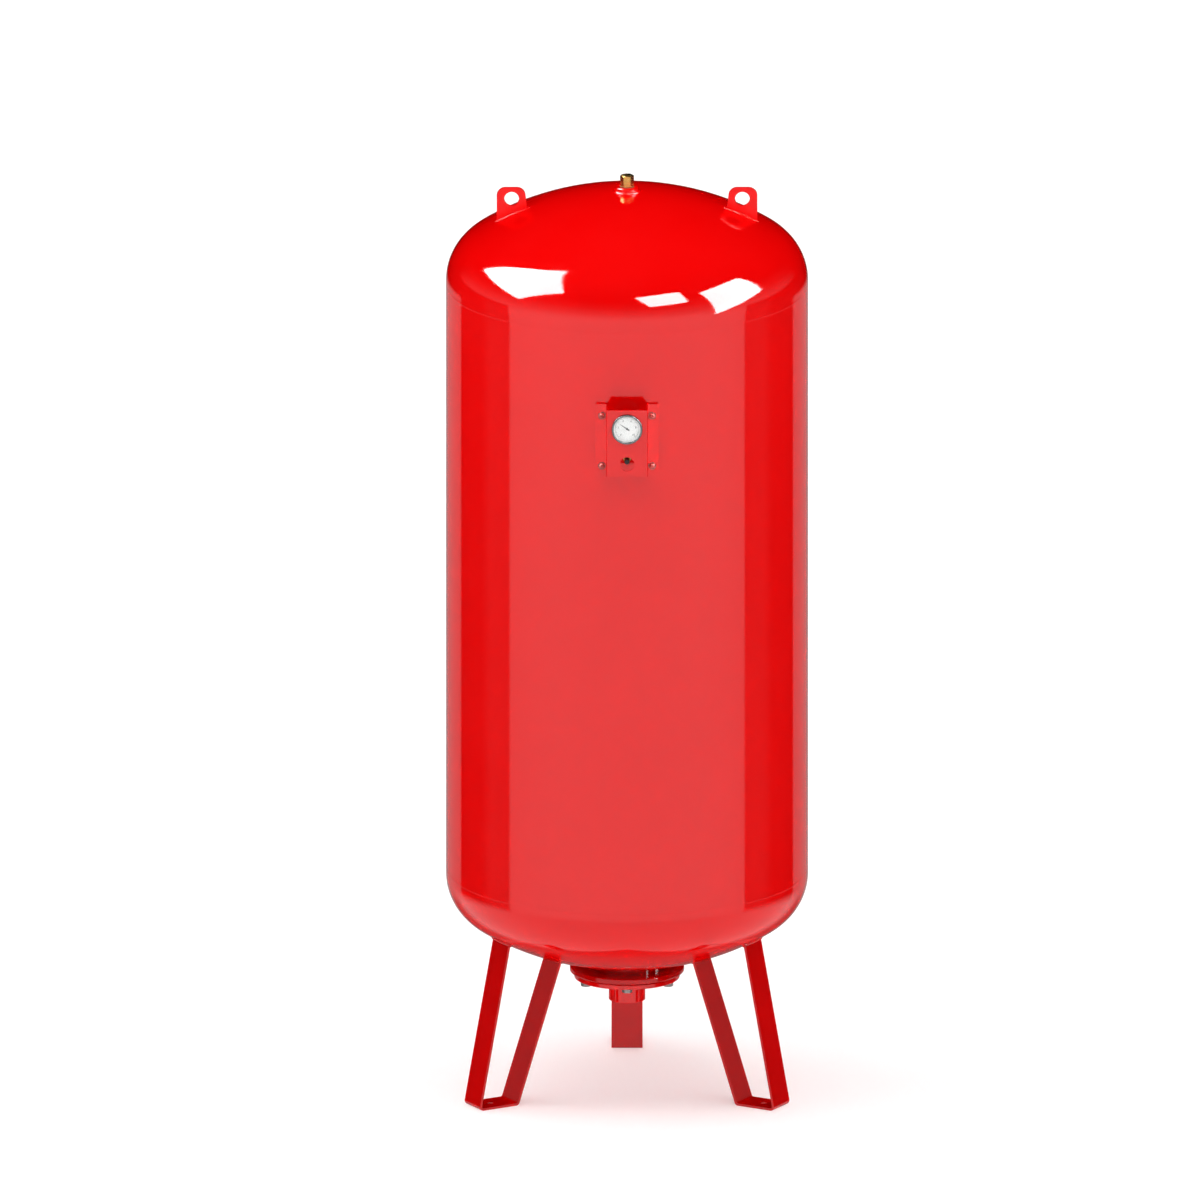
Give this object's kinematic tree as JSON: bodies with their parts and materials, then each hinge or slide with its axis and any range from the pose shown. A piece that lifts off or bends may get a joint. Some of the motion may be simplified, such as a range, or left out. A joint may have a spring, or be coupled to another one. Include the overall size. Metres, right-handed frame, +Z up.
{
  "type": "vertical air-charged pressure vessel",
  "caption": "Vertical red welded steel pressure vessel with a rubber bladder, on three bent flat-bar legs, with lifting lugs, gauge cover and bottom flange.",
  "frame": {"origin": "on the floor, on the vessel axis, which is the centre of the circle of anchor holes", "axes": "+Z up along the vessel axis; -Y is the front, where the gauge cover faces; +X is to the right as seen from the front"},
  "size_m": [0.7517, 0.8099, 1.9538],
  "materials": {
    "red_paint": "gloss powder coat over welded steel",
    "zinc_steel": "bright zinc plated",
    "brass": "turned",
    "bladder_rubber": "matte moulded butyl",
    "washer_fibre": "pressed fibre",
    "gauge_case_paint": "satin black",
    "polished_steel": "polished",
    "lens_glass": "clear",
    "dial_white": "matte white with printed scale",
    "pointer_black": "matte black",
    "spring_steel": "bright wire",
    "cap_plastic": "moulded black"
  },
  "bodies": {
    "tank": {"bladder": "bladder_rubber", "bottom_head": "red_paint", "bottom_seam_weld": "red_paint", "bourdon_tube": "brass", "charge_socket": "red_paint", "charge_valve_body": "brass", "charge_valve_sleeve": "brass", "charge_valve_spring": "spring_steel", "counter_flange": "red_paint", "cover_pads": "red_paint", "cover_screws": "zinc_steel", "cover_washers": "zinc_steel", "flange_bolts": "zinc_steel", "gauge_bezel": "polished_steel", "gauge_case": "gauge_case_paint", "gauge_cover": "red_paint", "gauge_dial": "dial_white", "gauge_lens": "lens_glass", "gauge_socket": "red_paint", "gauge_stem": "brass", "leg_back": "red_paint", "leg_front_left": "red_paint", "leg_front_right": "red_paint", "leg_welds": "red_paint", "lifting_lug_left": "red_paint", "lifting_lug_right": "red_paint", "long_seam_weld": "red_paint", "lug_welds": "red_paint", "membrane_stem": "brass", "movement_frame": "brass", "neck_flange": "red_paint", "neck_pipe": "red_paint", "neck_weld": "red_paint", "shell": "red_paint", "socket_welds": "red_paint", "stem_cap": "brass", "stem_nut": "brass", "stem_washer": "washer_fibre", "top_boss": "red_paint", "top_boss_weld": "red_paint", "top_head": "red_paint", "top_seam_weld": "red_paint", "water_socket": "red_paint", "water_socket_weld": "red_paint"},
    "pointer": {"gauge_pointer": "pointer_black"},
    "sector": {"sector_gear": "brass"},
    "link": {"sector_link": "brass"},
    "valve_pin": {"charge_valve_pin": "brass"},
    "valve_cap": {"charge_valve_cap": "cap_plastic"}
  },
  "joints": [
    {"name": "sector_turn", "type": "hinge", "parent": "tank", "child": "sector", "pos_m": [0, -0.415, 1.513], "axis": [0, 1, 0], "range_deg": [-29.23, 12.31], "stiffness_Nm_per_rad": 0.05},
    {"name": "pointer_turn", "type": "hinge", "parent": "tank", "child": "pointer", "pos_m": [0, -0.415, 1.525], "axis": [0, 1, 0], "range_deg": [-80, 190]},
    {"name": "link_pivot", "type": "hinge", "parent": "sector", "child": "link", "pos_m": [-0.0065, -0.415, 1.513], "axis": [0, 1, 0], "range_deg": [-12.31, 29.24]},
    {"name": "valve_pin_press", "type": "slide", "parent": "tank", "child": "valve_pin", "axis": [0, 1, 0], "range_m": [0, 0.0015], "stiffness_N_per_m": 400, "springref_m": -0.002},
    {"name": "valve_cap_off", "type": "slide", "parent": "tank", "child": "valve_cap", "axis": [0, -1, 0], "range_m": [0, 0.014]}
  ],
  "couplings": [
    {"joint": "pointer_turn", "follows": "sector_turn", "ratio": -6.5},
    {"joint": "link_pivot", "follows": "sector_turn", "ratio": -1}
  ]
}
